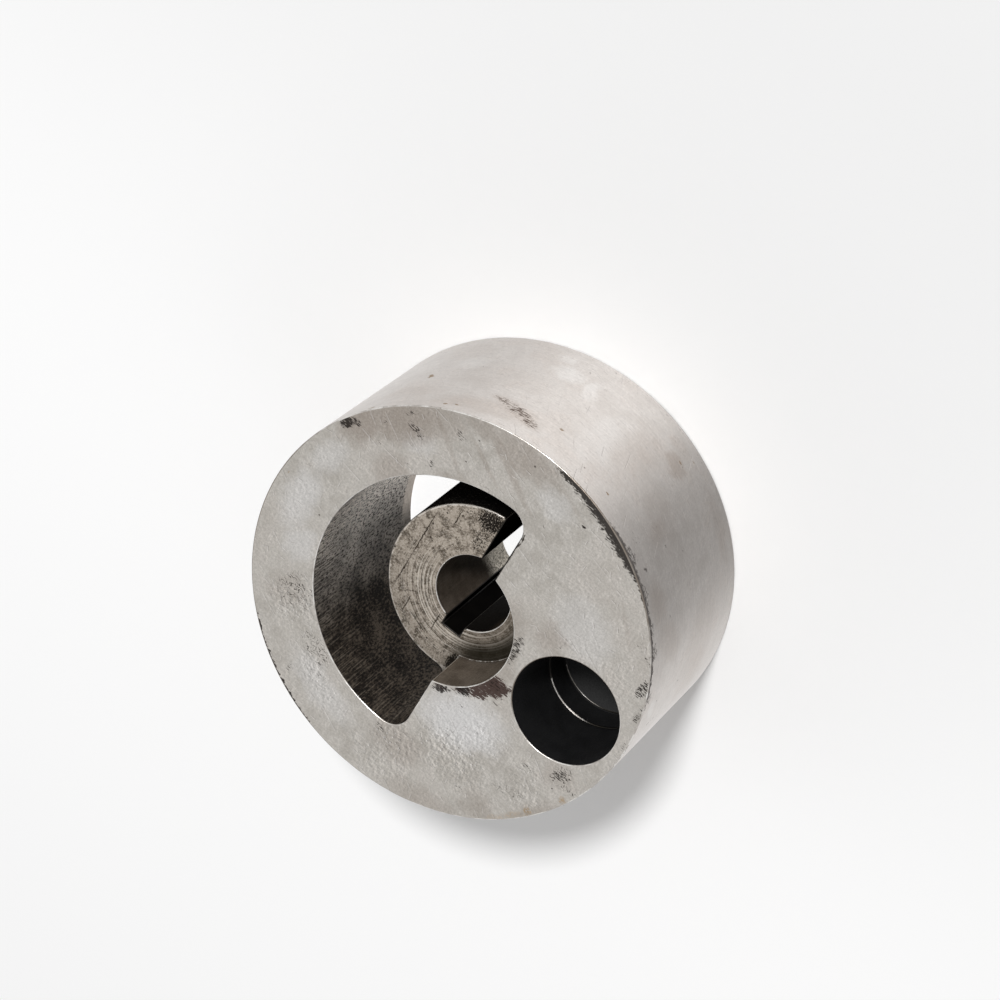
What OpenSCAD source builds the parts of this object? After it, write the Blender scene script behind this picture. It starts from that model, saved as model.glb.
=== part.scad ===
// One half of a pin-driven shaft coupling, machined from a single round of steel.
// It stands on its back face, with the open face up and the pin hole on the +X side.
// Half of the round is milled away as a D-shaped window that runs right through.
// A keyed hub stands inside the window and stops short of the open face.
// All sizes are in millimetres.

/* [Round] */
// Outside diameter of the coupling
outer_d = 160; // [154:1:200]
// Length of the coupling along its axis
length = 76; // [64:1:120]
// Edge break on the rims and on the mouths of the bores
edge_break = 0.5; // [0.2:0.1:1.5]

/* [Window] */
// Diameter of the arc that bounds the window, concentric with the coupling
window_d = 108; // [92:1:130]
// Distance from the coupling's axis to the flat side of the window
flat_offset = 8; // [5:0.5:12]
// Radius of the window's corners, where the arc meets the flat
window_corner_r = 8; // [2:0.5:12]

/* [Hub] */
// Diameter of the hub that stands inside the window
hub_d = 70; // [60:1:84]
// Radius of the inner corners, where the hub's wall meets the flat
hub_corner_r = 6; // [1:0.5:7]

/* [Recess] */
// Diameter of the recess sunk into the open face above the hub
recess_d = 54; // [40:1:60]
// Depth of the recess and of the hub's face below the open face
recess_depth = 22; // [6:1:30]
// Radius left by the tool between the recess's wall and its floor
recess_corner_r = 0.8; // [0.3:0.1:3]

/* [Bore and keyway] */
// Diameter of the shaft bore through the hub
bore_d = 30; // [20:0.5:36]
// Width of the keyway and of the slot opposite to it
key_w = 8; // [5:0.5:10]
// Depth of the keyway, from the wall of the bore to its floor
key_depth = 3.8; // [2:0.1:6]

/* [Pin hole] */
// Distance from the coupling's axis to the centre of the pin hole
pin_hole_offset = 54.5; // [52:0.5:56]
// Diameter of the pin hole
pin_hole_d = 42; // [20:0.5:44]
// Depth of the pin hole below the open face
pin_hole_depth = 43; // [36:1:56]
// Depth of the finished seat, above the shoulder in the hole's wall
pin_seat_depth = 31; // [10:1:34]
// Width of the shoulder at the foot of the seat
pin_shoulder_w = 0.5; // [0.2:0.1:2]
// Radius left by the tool at the pin hole's floor
pin_floor_r = 0.8; // [0.3:0.1:3]

/* [Hidden] */
$fn = 96;
// How far a cutting shape runs past the face that it cuts
overrun = 2;
outer_r = outer_d / 2;
window_r = window_d / 2;
hub_r = hub_d / 2;
recess_r = recess_d / 2;
bore_r = bore_d / 2;
pin_hole_r = pin_hole_d / 2;
// Height of the hub's face and of the recess's floor above the back face
hub_top = length - recess_depth;
pin_floor = length - pin_hole_depth;
pin_shoulder = length - pin_seat_depth;
// How far a corner arc crosses the larger arc that it runs into
blend = 0.01;
// Centres of the window's corner arcs, which meet both the outer arc and the flat
corner_x = flat_offset - window_corner_r;
corner_y = sqrt(pow(window_r - window_corner_r + blend, 2) - pow(corner_x, 2));
// Centres of the inner corner arcs, which meet both the hub and the flat
hub_corner_x = flat_offset - hub_corner_r;
hub_corner_y = sqrt(pow(hub_r + hub_corner_r - blend, 2) - pow(hub_corner_x, 2));
steel = [0.72, 0.70, 0.67];

// The turned round, with both rims broken
module round_blank() {
    rotate_extrude()
        polygon([
            [0, 0],
            [outer_r - edge_break, 0],
            [outer_r, edge_break],
            [outer_r, length - edge_break],
            [outer_r - edge_break, length],
            [0, length]
        ]);
}

// Wedge at a corner of the window, from the corner arc's centre outwards
module corner_wedge() {
    reach = 2 * window_corner_r + overrun;
    out = [corner_x, corner_y] / (window_r - window_corner_r);
    polygon([
        [corner_x, corner_y],
        [corner_x + reach, corner_y],
        [corner_x + reach, corner_y + reach],
        [corner_x, corner_y] + 2 * reach * out
    ]);
}

// Outline of the D-shaped window with both corners rounded
module window_outline() {
    difference() {
        circle(r = window_r);
        translate([flat_offset, -window_d])
            square([window_d, 2 * window_d]);
        corner_wedge();
        mirror([0, 1])
            corner_wedge();
    }
    for (side = [-1, 1])
        translate([corner_x, side * corner_y])
            circle(r = window_corner_r);
}

// Outline of the hub, joined to the flat by its two inner corners
module hub_outline() {
    circle(r = hub_r);
    difference() {
        polygon([
            [0, 0],
            [hub_corner_x, -hub_corner_y],
            [flat_offset + overrun, -hub_corner_y],
            [flat_offset + overrun, hub_corner_y],
            [hub_corner_x, hub_corner_y]
        ]);
        for (side = [-1, 1])
            translate([hub_corner_x, side * hub_corner_y])
                circle(r = hub_corner_r);
    }
}

// Space of the window, which goes round the hub and over its face
module window_space() {
    difference() {
        translate([0, 0, -overrun])
            linear_extrude(height = length + 2 * overrun)
                window_outline();
        translate([0, 0, -2 * overrun])
            linear_extrude(height = hub_top + 2 * overrun)
                hub_outline();
    }
}

// Round pocket open at the top, with a small radius at its floor
module pocket_profile(r, corner_r, floor_z, top_z) {
    translate([0, floor_z])
        square([r - corner_r, top_z - floor_z]);
    translate([0, floor_z + corner_r])
        square([r, top_z - floor_z - corner_r]);
    intersection() {
        translate([r - corner_r, floor_z + corner_r])
            circle(r = corner_r);
        translate([r - corner_r, floor_z])
            square(corner_r);
    }
}

// Space of the round recess above the hub
module recess_space() {
    rotate_extrude()
        pocket_profile(recess_r, recess_corner_r, hub_top, length + overrun);
}

// Space of the shaft bore, with its mouth broken at both ends
module bore_space() {
    translate([0, 0, -overrun])
        cylinder(r = bore_r, h = length + 2 * overrun);
    translate([0, 0, -overrun])
        cylinder(r1 = bore_r + edge_break + overrun, r2 = bore_r, h = edge_break + overrun);
    translate([0, 0, hub_top - edge_break])
        cylinder(r1 = bore_r, r2 = bore_r + edge_break + overrun, h = edge_break + overrun);
}

// Space of the keyway on one side and of the open slot on the other
module key_space() {
    reach = hub_r + hub_corner_r + overrun;
    translate([-key_w / 2, -bore_r - key_depth, -overrun])
        cube([key_w, bore_r + key_depth + reach, hub_top + 2 * overrun]);
}

// Space of the blind pin hole: a finished seat, a shoulder and a flat floor
module pin_hole_space() {
    translate([pin_hole_offset, 0, 0]) {
        rotate_extrude()
            pocket_profile(pin_hole_r - pin_shoulder_w, pin_floor_r, pin_floor, length + overrun);
        translate([0, 0, pin_shoulder])
            cylinder(r = pin_hole_r, h = pin_seat_depth + overrun);
        translate([0, 0, length - edge_break])
            cylinder(r1 = pin_hole_r, r2 = pin_hole_r + edge_break + overrun, h = edge_break + overrun);
    }
}

module coupling_body() {
    color(steel)
        difference() {
            round_blank();
            window_space();
            recess_space();
            bore_space();
            key_space();
            pin_hole_space();
        }
}

coupling_body();
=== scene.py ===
import math
from functools import partial, reduce

import bpy
from mathutils import Matrix, Vector


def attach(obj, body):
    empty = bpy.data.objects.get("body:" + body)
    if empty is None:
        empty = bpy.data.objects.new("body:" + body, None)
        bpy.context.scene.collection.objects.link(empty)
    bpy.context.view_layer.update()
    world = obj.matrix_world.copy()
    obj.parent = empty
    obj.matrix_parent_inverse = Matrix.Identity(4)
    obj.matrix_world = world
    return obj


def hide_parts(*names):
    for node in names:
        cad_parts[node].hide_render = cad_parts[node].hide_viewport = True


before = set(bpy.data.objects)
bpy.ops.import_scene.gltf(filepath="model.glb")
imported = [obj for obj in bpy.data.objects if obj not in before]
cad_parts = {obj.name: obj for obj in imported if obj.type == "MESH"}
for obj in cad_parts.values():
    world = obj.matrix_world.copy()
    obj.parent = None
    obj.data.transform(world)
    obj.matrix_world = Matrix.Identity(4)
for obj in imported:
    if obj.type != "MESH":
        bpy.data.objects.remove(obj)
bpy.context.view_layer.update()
print("frame loaded:", sorted(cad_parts))


# Small helpers for node trees

bench = {}  # holds the tree that the helpers add to


def workOn(tree):
    bench["tree"] = tree
    return tree


# Empties the node tree of a material or a world, and puts it on the bench
def freshTree(owner):
    owner.use_nodes = True
    workOn(owner.node_tree).nodes.clear()


# Fills a node's sockets, by name or number, with a value, another node's output, or a list of them
def feed(node, sockets):
    for key, value in sockets.items():
        socket = node.inputs[key]
        for item in value if isinstance(value, list) else [value]:
            if isinstance(item, bpy.types.NodeSocket):
                bench["tree"].links.new(item, socket)
            else:
                socket.default_value = item


def addNode(kind, sockets=None, **settings):
    node = bench["tree"].nodes.new(kind)
    for name, value in settings.items():
        setattr(node, name, value)
    feed(node, sockets or {})
    return node


# The same, giving the node's first output
def made(kind, sockets=None, **settings):
    return addNode(kind, sockets, **settings).outputs[0]


def calc(operation, first, second=0.0, third=None, clamp=False):
    sockets = {0: first, 1: second}
    if third is not None:
        sockets[2] = third
    return made("ShaderNodeMath", sockets, operation=operation, use_clamp=clamp)


add, sub, mul, div = (partial(calc, operation) for operation in ("ADD", "SUBTRACT", "MULTIPLY", "DIVIDE"))
mulAdd, larger = partial(calc, "MULTIPLY_ADD"), partial(calc, "MAXIMUM")


def strongest(masks):
    return reduce(larger, masks)


def product(masks):
    return reduce(mul, masks)


def vectorCalc(operation, first, second=None, scale=None):
    sockets = {0: first}
    if second is not None:
        sockets[1] = second
    if scale is not None:
        sockets["Scale"] = scale
    node = addNode("ShaderNodeVectorMath", sockets, operation=operation)
    return node.outputs[1] if operation in ("LENGTH", "DOT_PRODUCT") else node.outputs[0]


def point(x=0.0, y=0.0, z=0.0):
    return made("ShaderNodeCombineXYZ", {0: x, 1: y, 2: z})


def parts(vector):
    return addNode("ShaderNodeSeparateXYZ", {0: vector}).outputs


def lengthOf(x, y):
    return vectorCalc("LENGTH", point(x, y))


def turnedBack(vector, angle):
    return parts(made("ShaderNodeVectorRotate", {"Vector": vector, "Angle": mul(angle, -1.0)}, rotation_type="Z_AXIS"))


# Smooth ramp from one value to another, flat outside the range
def ramp(value, low, high, start=0.0, end=1.0):
    return made("ShaderNodeMapRange", {
        "Value": value, "From Min": low, "From Max": high, "To Min": start, "To Max": end},
        interpolation_type="SMOOTHSTEP", clamp=False)


def fall(value, low, high):
    return ramp(value, low, high, 1.0, 0.0)


# The same ramp over an angle, with the range in degrees
def sweep(turn, low, high, start=0.0, end=1.0):
    return ramp(turn, math.radians(low), math.radians(high), start, end)


# A noise in space, or on a level surface if level is set
def noise(vector, scale=1.0, detail=2.0, roughness=0.5, level=False):
    return made("ShaderNodeTexNoise", {
        "Vector": vector, "Scale": scale, "Detail": detail, "Roughness": roughness},
        noise_dimensions="2D" if level else "3D")


def mixColour(amount, first, second, mode="MIX"):
    def rgba(value):
        return value if isinstance(value, bpy.types.NodeSocket) else (*value, 1.0)
    return addNode("ShaderNodeMix", {0: amount, 6: rgba(first), 7: rgba(second)},
                   data_type="RGBA", blend_type=mode).outputs[2]


def grey(value):
    return (value, value, value)


# Multiplies a colour by a grey that follows a value
def shadeBy(colour, value, low, high):
    return mixColour(1.0, colour, mixColour(value, grey(low), grey(high)), "MULTIPLY")


# Lays a shade over a colour where a mask says
def lay(colour, mask, shade, strength=1.0):
    return mixColour(mask if strength == 1.0 else mul(mask, strength), colour, shade)


# Lays named shades over a colour in turn, each by its mask and strength
def layers(colour, values, *laid):
    for mask, name, strength in laid:
        colour = lay(colour, mask, values[name], strength)
    return colour


# A shader node group with a Vector and other inputs: returns the group, its inputs and its output node
def shaderGroup(name, inputs, result="Mask"):
    tree = workOn(bpy.data.node_groups.new(name, "ShaderNodeTree"))
    for label, value in {"Vector": (0.0, 0.0, 0.0), **inputs}.items():
        kind = "NodeSocketVector" if isinstance(value, tuple) else "NodeSocketFloat"
        tree.interface.new_socket(name=label, in_out="INPUT", socket_type=kind).default_value = value
    kind = "NodeSocketVector" if result == "Vector" else "NodeSocketFloat"
    tree.interface.new_socket(name=result, in_out="OUTPUT", socket_type=kind)
    return tree, addNode("NodeGroupInput").outputs, addNode("NodeGroupOutput")


def useGroup(group, sockets):
    return made("ShaderNodeGroup", sockets, node_tree=group)


# The coupling's body, grown from its sizes in metres

couplingSizes = {
    "Outer radius": 0.07997,  # a hair inside the solid, whose round is made of facets
    "Length": 0.076,
    "Window radius": 0.054,
    "Flat offset": 0.008,
    "Window corner": 0.008,
    "Hub radius": 0.035,
    "Hub corner": 0.006,
    "Hub top": 0.054,
    "Recess radius": 0.027,
    "Bore radius": 0.015,
    "Key width": 0.008,
    "Key floor": 0.0188,
    "Pin offset": 0.0545,
    "Pin radius": 0.021,
    "Pin floor": 0.033,
    "Pin shoulder": 0.045,
    "Shoulder width": 0.0005,
    "Overrun": 0.002,
}
edgeBreak = {"width": 0.0004, "segments": 3, "limit_method": "ANGLE", "angle_limit": math.radians(35),
             "use_clamp_overlap": False}
arcSteps = {"window": 150, "window corner": 18, "recess": 52, "hub": 150, "hub corner": 16}
drumSteps = {"round": 320, "bore": 94, "pin": 112}
weld = {"outline": 1e-5, "prism": 1e-6, "body": 5e-5}
zoneSlack = {"hub": 0.0012, "level": 0.0006, "bore": 0.0001, "pin": 0.0002, "back": 0.001}


def couplingTree(materials):
    tree = workOn(bpy.data.node_groups.new("couplingShape", "GeometryNodeTree"))
    tree.interface.new_socket(name="Geometry", in_out="OUTPUT", socket_type="NodeSocketGeometry")
    for name in couplingSizes:
        tree.interface.new_socket(name=name, in_out="INPUT", socket_type="NodeSocketFloat")
    size = addNode("NodeGroupInput").outputs

    def minus(value):
        return mul(value, -1.0)

    # The third side of a right-angled triangle
    def leg(longest, other):
        return calc("SQRT", sub(calc("POWER", longest, 2.0), calc("POWER", other, 2.0)))

    def shifted(shape, x=0.0, y=0.0, z=0.0):
        return made("GeometryNodeTransform", {"Geometry": shape, "Translation": point(x, y, z)})

    def merged(shape, distance):
        return made("GeometryNodeMergeByDistance", {"Geometry": shape, "Distance": distance})

    def joined(shapes):
        return made("GeometryNodeJoinGeometry", {0: shapes})

    def arc(radius, start, turn, steps, centreX=0.0, centreY=0.0):
        return shifted(made("GeometryNodeCurveArc", {
            "Resolution": arcSteps[steps], "Radius": radius, "Start Angle": start, "Sweep Angle": turn}),
            centreX, centreY)

    def line(x1, y1, x2, y2):
        return made("GeometryNodeCurvePrimitiveLine", {"Start": point(x1, y1), "End": point(x2, y2)})

    # Arcs and lines laid end to end become one closed outline
    def outline(pieces):
        edges = made("GeometryNodeCurveToMesh", {"Curve": joined(pieces[::-1])})
        return made("GeometryNodeMeshToCurve", {"Mesh": merged(edges, weld["outline"])})

    # An outline pulled up along Z into a closed prism
    def prism(shape, low, high):
        foot = shifted(made("GeometryNodeFillCurve", {"Curve": shape}, mode="NGONS"), 0, 0, low)
        raised = made("GeometryNodeExtrudeMesh", {
            "Mesh": foot, "Offset": point(0, 0, 1), "Offset Scale": sub(high, low), "Individual": False})
        return merged(joined([made("GeometryNodeFlipFaces", {"Mesh": foot}), raised]), weld["prism"])

    def drum(radius, low, high, steps, centreX=0.0):
        return shifted(made("GeometryNodeMeshCylinder", {
            "Vertices": drumSteps[steps], "Radius": radius, "Depth": sub(high, low)}),
            centreX, 0.0, mul(add(high, low), 0.5))

    def cut(solid, *tools):
        return made("GeometryNodeMeshBoolean", {"Mesh 1": solid, "Mesh 2": list(tools)},
                    operation="DIFFERENCE", solver="EXACT")

    flatX, hubTop, spare = size["Flat offset"], size["Hub top"], size["Overrun"]
    over, under = add(size["Length"], spare), minus(spare)

    # The window: the big arc, two corners and the flat, which the recess breaks through
    cornerX = sub(flatX, size["Window corner"])
    cornerY = leg(sub(size["Window radius"], size["Window corner"]), cornerX)
    turn = calc("ARCTAN2", cornerY, cornerX)
    recessY = leg(size["Recess radius"], flatX)
    recessTurn = calc("ARCTAN2", recessY, flatX)
    windowOutline = outline([
        arc(size["Window radius"], turn, add(mul(turn, -2.0), 2 * math.pi), "window"),
        arc(size["Window corner"], minus(turn), turn, "window corner", cornerX, minus(cornerY)),
        line(flatX, minus(cornerY), flatX, minus(recessY)),
        arc(size["Recess radius"], minus(recessTurn), mul(recessTurn, 2.0), "recess"),
        line(flatX, recessY, flatX, cornerY),
        arc(size["Window corner"], 0.0, turn, "window corner", cornerX, cornerY),
    ])

    # The hub, with the two inner corners that run into the flat, and the steel under the recess
    hubX = sub(flatX, size["Hub corner"])
    hubReach = add(size["Hub radius"], size["Hub corner"])
    hubY = leg(hubReach, hubX)
    hubLow = minus(hubY)
    hubTurn = calc("ARCTAN2", hubY, hubX)
    inner = sub(math.pi, hubTurn)
    past = add(size["Recess radius"], spare)
    hubOutline = outline([
        arc(size["Hub radius"], hubTurn, add(mul(hubTurn, -2.0), 2 * math.pi), "hub"),
        arc(size["Hub corner"], 0.0, inner, "hub corner", hubX, hubLow),
        line(flatX, hubLow, past, hubLow),
        line(past, hubLow, past, hubY),
        line(past, hubY, flatX, hubY),
        arc(size["Hub corner"], minus(inner), inner, "hub corner", hubX, hubY),
    ])
    windowSpace = cut(prism(windowOutline, under, over), prism(hubOutline, mul(spare, -2.0), hubTop))

    # The keyway on one side of the bore and the open slot on the other are one cut
    keyTop, keyHigh, keyLow = add(hubTop, spare), add(hubReach, spare), minus(size["Key floor"])
    keyBox = made("GeometryNodeMeshCube", {"Size": point(size["Key width"], sub(keyHigh, keyLow), sub(keyTop, under))})
    keySpace = shifted(keyBox, 0.0, mul(add(keyHigh, keyLow), 0.5), mul(add(keyTop, under), 0.5))

    body = cut(
        drum(size["Outer radius"], 0.0, size["Length"], "round"),
        windowSpace,
        drum(size["Bore radius"], under, over, "bore"),
        keySpace,
        drum(size["Pin radius"], size["Pin shoulder"], over, "pin", size["Pin offset"]),
        drum(sub(size["Pin radius"], size["Shoulder width"]), size["Pin floor"], over, "pin", size["Pin offset"]),
    )
    smooth = made("GeometryNodeSetShadeSmooth", {"Geometry": merged(body, weld["body"])})
    real = made("GeometryNodeRealizeInstances", {"Geometry": smooth})

    # Each zone has its own finish, picked by where a face lies and which way it looks
    facing = parts(made("GeometryNodeInputNormal"))[2]
    spot = parts(made("GeometryNodeInputPosition"))
    fromAxis = lengthOf(spot[0], spot[1])
    fromPin = lengthOf(sub(spot[0], size["Pin offset"]), spot[1])
    above, below = partial(calc, "GREATER_THAN"), partial(calc, "LESS_THAN")
    upright, facesUp, facesDown = below(calc("ABSOLUTE", facing), 0.5), above(facing, 0.5), below(facing, -0.5)
    inHub, underRim = below(spot[2], hubTop), add(size["Length"], -zoneSlack["level"])
    zones = {
        "windowWall": [upright],
        "hubWall": [upright, inHub, below(fromAxis, add(hubReach, zoneSlack["hub"]))],
        "recessWall": [upright, above(spot[2], hubTop),
                       calc("COMPARE", fromAxis, size["Recess radius"], zoneSlack["level"])],
        "boreWall": [upright, inHub, below(fromAxis, add(size["Bore radius"], zoneSlack["bore"]))],
        "turnedRound": [upright, above(fromAxis, add(size["Outer radius"], -zoneSlack["level"]))],
        "facedEnd": [facesUp, above(spot[2], underRim)],
        "facedBack": [facesDown, below(spot[2], zoneSlack["level"])],
        "hubFace": [facesUp, calc("COMPARE", spot[2], hubTop, zoneSlack["level"])],
        "pinHole": [below(fromPin, add(size["Pin radius"], zoneSlack["pin"])), below(spot[2], underRim),
                    above(spot[2], zoneSlack["back"])],
    }
    shape = made("GeometryNodeSetMaterial", {"Geometry": real, "Material": materials["brokenEdge"]})
    for material, tests in zones.items():
        shape = made("GeometryNodeSetMaterial", {
            "Geometry": shape, "Selection": above(product(tests), 0.5), "Material": materials[material]})
    addNode("NodeGroupOutput", {0: shape})
    return tree


def newObject(name, data):
    item = bpy.data.objects.new(name, data)
    bpy.context.scene.collection.objects.link(item)
    return item


def growTree(tree, name, values):
    piece = newObject(name, bpy.data.meshes.new(name))
    modifier = piece.modifiers.new("grow", "NODES")
    modifier.node_group = tree
    for item in tree.interface.items_tree:
        if item.in_out == "INPUT" and item.name in values:
            modifier[item.identifier] = values[item.name]
    return piece


# Swaps a piece for its evaluated mesh, with no modifiers left
def settle(piece):
    graph = bpy.context.evaluated_depsgraph_get()
    grown = bpy.data.meshes.new_from_object(
        piece.evaluated_get(graph), preserve_all_data_layers=True, depsgraph=graph)
    piece.modifiers.clear()
    piece.data = grown
    grown.name = piece.name
    return piece


# Effects that several finishes share; all of them work in millimetres

# A group's place in units of its spacing, moved by its seed
def seeded(put, *seeds):
    return vectorCalc("ADD", vectorCalc("SCALE", put["Vector"], scale=div(1.0, put["Spacing"])), point(*seeds))


# The outside of a cylinder laid out flat: length round it, height, distance from the axis
unroll, put, out = shaderGroup("unroll", {"Radius": 80.0}, "Vector")
spot = parts(put["Vector"])
feed(out, {"Vector": point(mul(calc("ARCTAN2", spot[1], spot[0]), put["Radius"]), spot[2],
                           lengthOf(spot[0], spot[1]))})

# Short straight marks scattered at about one angle
scatter, put, out = shaderGroup("scatteredMarks", {
    "Spacing": 5.0, "Length": 3.0, "Width": 0.15, "Angle": 0.0, "Spread": 0.6, "Share": 0.5, "Seed": 0.0})
moved = seeded(put, put["Seed"], put["Seed"])
cells = addNode("ShaderNodeTexVoronoi", {"Vector": moved, "Scale": 1.0}, voronoi_dimensions="2D")
luck = parts(cells.outputs["Color"])
local = vectorCalc("SCALE", vectorCalc("SUBTRACT", moved, cells.outputs["Position"]), scale=put["Spacing"])
turned = turnedBack(local, mulAdd(sub(luck[0], 0.5), put["Spread"], put["Angle"]))
alongMark = fall(div(calc("ABSOLUTE", turned[0]), put["Length"]), 0.3, 0.5)
acrossMark = fall(div(calc("ABSOLUTE", turned[1]), put["Width"]), 0.1, 0.6)
markMask = product([alongMark, acrossMark, calc("LESS_THAN", luck[1], put["Share"])])
feed(out, {"Mask": mul(markMask, ramp(luck[2], 0.0, 1.0, 0.35, 1.0))})

# Small round pits or specks of uneven size
pits, put, out = shaderGroup("pits", {"Spacing": 4.0, "Size": 0.3, "Share": 0.3, "Seed": 0.0})
cells = addNode("ShaderNodeTexVoronoi", {"Vector": seeded(put, put["Seed"], put["Seed"], put["Seed"]), "Scale": 1.0})
luck = parts(cells.outputs["Color"])
breadth = mul(put["Size"], ramp(luck[0], 0.0, 1.0, 0.35, 1.3))
ragged = mul(cells.outputs["Distance"], put["Spacing"])
wobble = mul(noise(put["Vector"], 2.5, 2.0), 1.4)
dot = fall(div(mul(ragged, add(wobble, 0.3)), breadth), 0.6, 1.1)
feed(out, {"Mask": mul(dot, calc("LESS_THAN", luck[1], put["Share"]))})

# A patch that breaks up into streaks: Amount says where it may be and how thick it lies
streaks, put, out = shaderGroup("streakedPatch", {
    "Amount": 0.5, "Run": 3.0, "Pitch": 0.5, "Angle": 0.0, "Softness": 0.08, "Seed": 0.0})
turned = turnedBack(put["Vector"], put["Angle"])
stretched = point(div(turned[0], put["Run"]), div(turned[1], put["Pitch"]), add(put["Seed"], mul(turned[2], 0.2)))
need = sub(0.86, mul(put["Amount"], 0.52))
feed(out, {"Mask": ramp(div(sub(noise(stretched, 1.0, 3.0, 0.6), need), put["Softness"]), 0.0, 1.0)})

# The fine rings that a turning tool leaves, by distance from the axis
rings, put, out = shaderGroup("turningRings", {"Pitch": 0.5, "Waviness": 0.6, "Seed": 0.0})
spot = parts(put["Vector"])
drift = mul(noise(put["Vector"], 0.04, 2.0), put["Waviness"])
ringPlace = point(div(lengthOf(spot[0], spot[1]), put["Pitch"]), drift, put["Seed"])
feed(out, {"Mask": noise(ringPlace, 1.0, 2.0, 0.7)})
print("shared effects built:", len([g for g in bpy.data.node_groups if g.type == "SHADER"]))


# Finishes; colours are laid by place, in millimetres

# Where a point lies on its own object
def place():
    return vectorCalc("SCALE", addNode("ShaderNodeTexCoord").outputs["Object"], scale=1000.0)


finishes = {}
landmarks = {"rim": 80.0, "window": 54.0, "pin": 54.5}


def newFinish(name, metallic=1.0, roughness=0.4):
    finishes[name] = bpy.data.materials.new(name)
    freshTree(finishes[name])
    shader = addNode("ShaderNodeBsdfPrincipled", {"Metallic": metallic, "Roughness": roughness})
    addNode("ShaderNodeOutputMaterial", {"Surface": shader.outputs[0]})
    return shader, place()


# Gives a shader its relief, and its colour if that is ready
def dress(shader, height, colour=None, strength=0.6, depth=0.00008):
    feed(shader, {"Normal": made("ShaderNodeBump", {"Strength": strength, "Distance": depth, "Height": height})})
    if colour:
        feed(shader, {"Base Color": colour})


# Moves each point a little by a noise, so that what is laid out on it gets an uneven border
def shaken(where, reach, scale):
    wild = addNode("ShaderNodeTexNoise", {"Vector": where, "Scale": scale, "Detail": 3.0, "Roughness": 0.6},
                   noise_dimensions="2D").outputs[1]
    centred = vectorCalc("SUBTRACT", wild, grey(0.5))
    return made("ShaderNodeVectorMath", {0: centred, 1: (reach, reach, 0.0), 2: where}, operation="MULTIPLY_ADD")


# Soft oval places from a list of (x, y, half length, half width, strength, turn in degrees if any)
def places(where, spots, softness):
    found = []
    for x, y, length, width, strength, *turn in spots:
        angle = math.radians(sum(turn))
        c, s = math.cos(angle), math.sin(angle)
        centred = vectorCalc("SUBTRACT", where, (x, y, 0.0))
        along = vectorCalc("DOT_PRODUCT", centred, (c / length, s / length, 0.0))
        across = vectorCalc("DOT_PRODUCT", centred, (-s / width, c / width, 0.0))
        apart = mulAdd(along, along, mul(across, across))
        found.append(ramp(apart, (1.0 - softness) ** 2, 1.0, strength, 0.0))
    return strongest(found)


def streaked(where, amount, settings):
    return useGroup(streaks, {"Vector": where, "Amount": amount, **settings})


# Marks that look pressed in: each gets painted shade on the mark and a painted highlight a small step away
def paintLitAndShadedSides(group, where, settings, step):
    dark = useGroup(group, {"Vector": where, **settings})
    return dark, useGroup(group, {"Vector": vectorCalc("ADD", where, step), **settings})


# Lays straight marks of several kinds, each with painted shade and a painted highlight: (settings, step between the
# two sides, highlight colour and strength, shade colour and strength)
def marked(colour, where, kinds):
    darkSides = []
    for settings, step, highlightSide, shadedSide in kinds:
        dark, pale = paintLitAndShadedSides(scatter, where, settings, step)
        colour = lay(lay(colour, pale, *highlightSide), dark, *shadedSide)
        darkSides.append(dark)
    return colour, darkSides


# Steel in two shades with some brown; returns the colour and the noises that it comes from
def clouded(values, where, mottleWhere, level=False):
    cloud = noise(where, values["cloud"], 2.0, 0.5, level)
    mottle = noise(mottleWhere, values["mottle"], 4.0, 0.62, level)
    grain = noise(where, values["grain"], 4.0, 0.8, level)
    tone = add(ramp(cloud, 0.34, 0.64, 0.0, 0.4), ramp(mottle, 0.36, 0.64, 0.0, 0.6))
    colour = mixColour(tone, values["deep"], values["pale"])
    colour = lay(colour, ramp(add(mottle, cloud), 0.98, 1.18), values["brown"], values["brownShare"])
    return colour, cloud, mottle, grain


# Painted side light on a crumpled look: each bulge gets a painted highlight on one side and painted shade on the other
def paintedSideLight(colour, where, settings, amount):
    scale, step, depth = settings
    first = noise(where, scale, 3.0, 0.62, level=True)
    second = noise(vectorCalc("ADD", where, (step, step * 1.2, 0.0)), scale, 3.0, 0.62, level=True)
    side = mulAdd(mul(sub(second, first), amount), depth, 1.0)
    return mixColour(1.0, colour, made("ShaderNodeCombineColor", {0: side, 1: side, 2: side}), "MULTIPLY")


# Where a mask is, dirt makes the steel dull
def dulled(shader, dirt, roughness, spread, change=0.7):
    feed(shader, {"Roughness": add(mulAdd(spread, 0.16, roughness - 0.08), mul(dirt, 0.35), clamp=True),
                  "Metallic": mulAdd(dirt, -change, 1.0, clamp=True)})


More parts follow.
